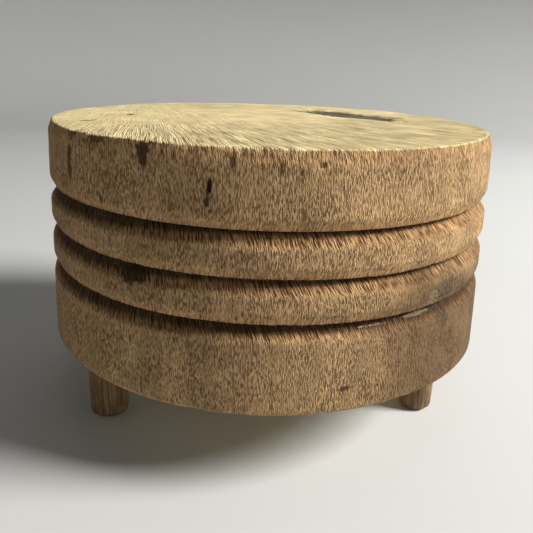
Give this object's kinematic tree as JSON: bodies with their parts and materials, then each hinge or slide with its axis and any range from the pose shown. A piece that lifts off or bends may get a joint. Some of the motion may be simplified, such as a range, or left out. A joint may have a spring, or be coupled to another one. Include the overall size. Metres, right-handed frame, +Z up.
{
  "type": "butter mold",
  "caption": "Turned wooden butter mold: grooved round bowl on three pegged legs, with a lift-off lid whose spigot carries a carved rosette print.",
  "frame": {"origin": "on the floor, at the centre of the drum's axis", "axes": "+Z up along the drum's axis; the back leg stands towards +Y, the left and right legs towards -Y"},
  "size_m": [0.1551, 0.155, 0.0975],
  "materials": {
    "bowl_wood": "dry and weathered, bare",
    "lid_wood": "dry and weathered, bare end grain",
    "leg_wood": "dark, handled",
    "wedge_wood": "bare, split",
    "print_wood": "fine, carved"
  },
  "bodies": {
    "base": {"bowl": "bowl_wood", "leg_left": "leg_wood", "leg_right": "leg_wood", "leg_back": "leg_wood", "wedge_left": "wedge_wood", "wedge_right": "wedge_wood", "wedge_back": "wedge_wood"},
    "cover": {"lid": "lid_wood", "print_disc": "print_wood", "print_pins": "wedge_wood"}
  },
  "joints": [
    {"name": "lid_lift", "type": "slide", "parent": "base", "child": "cover", "axis": [0, 0, 1], "range_m": [0, 0.07]}
  ]
}
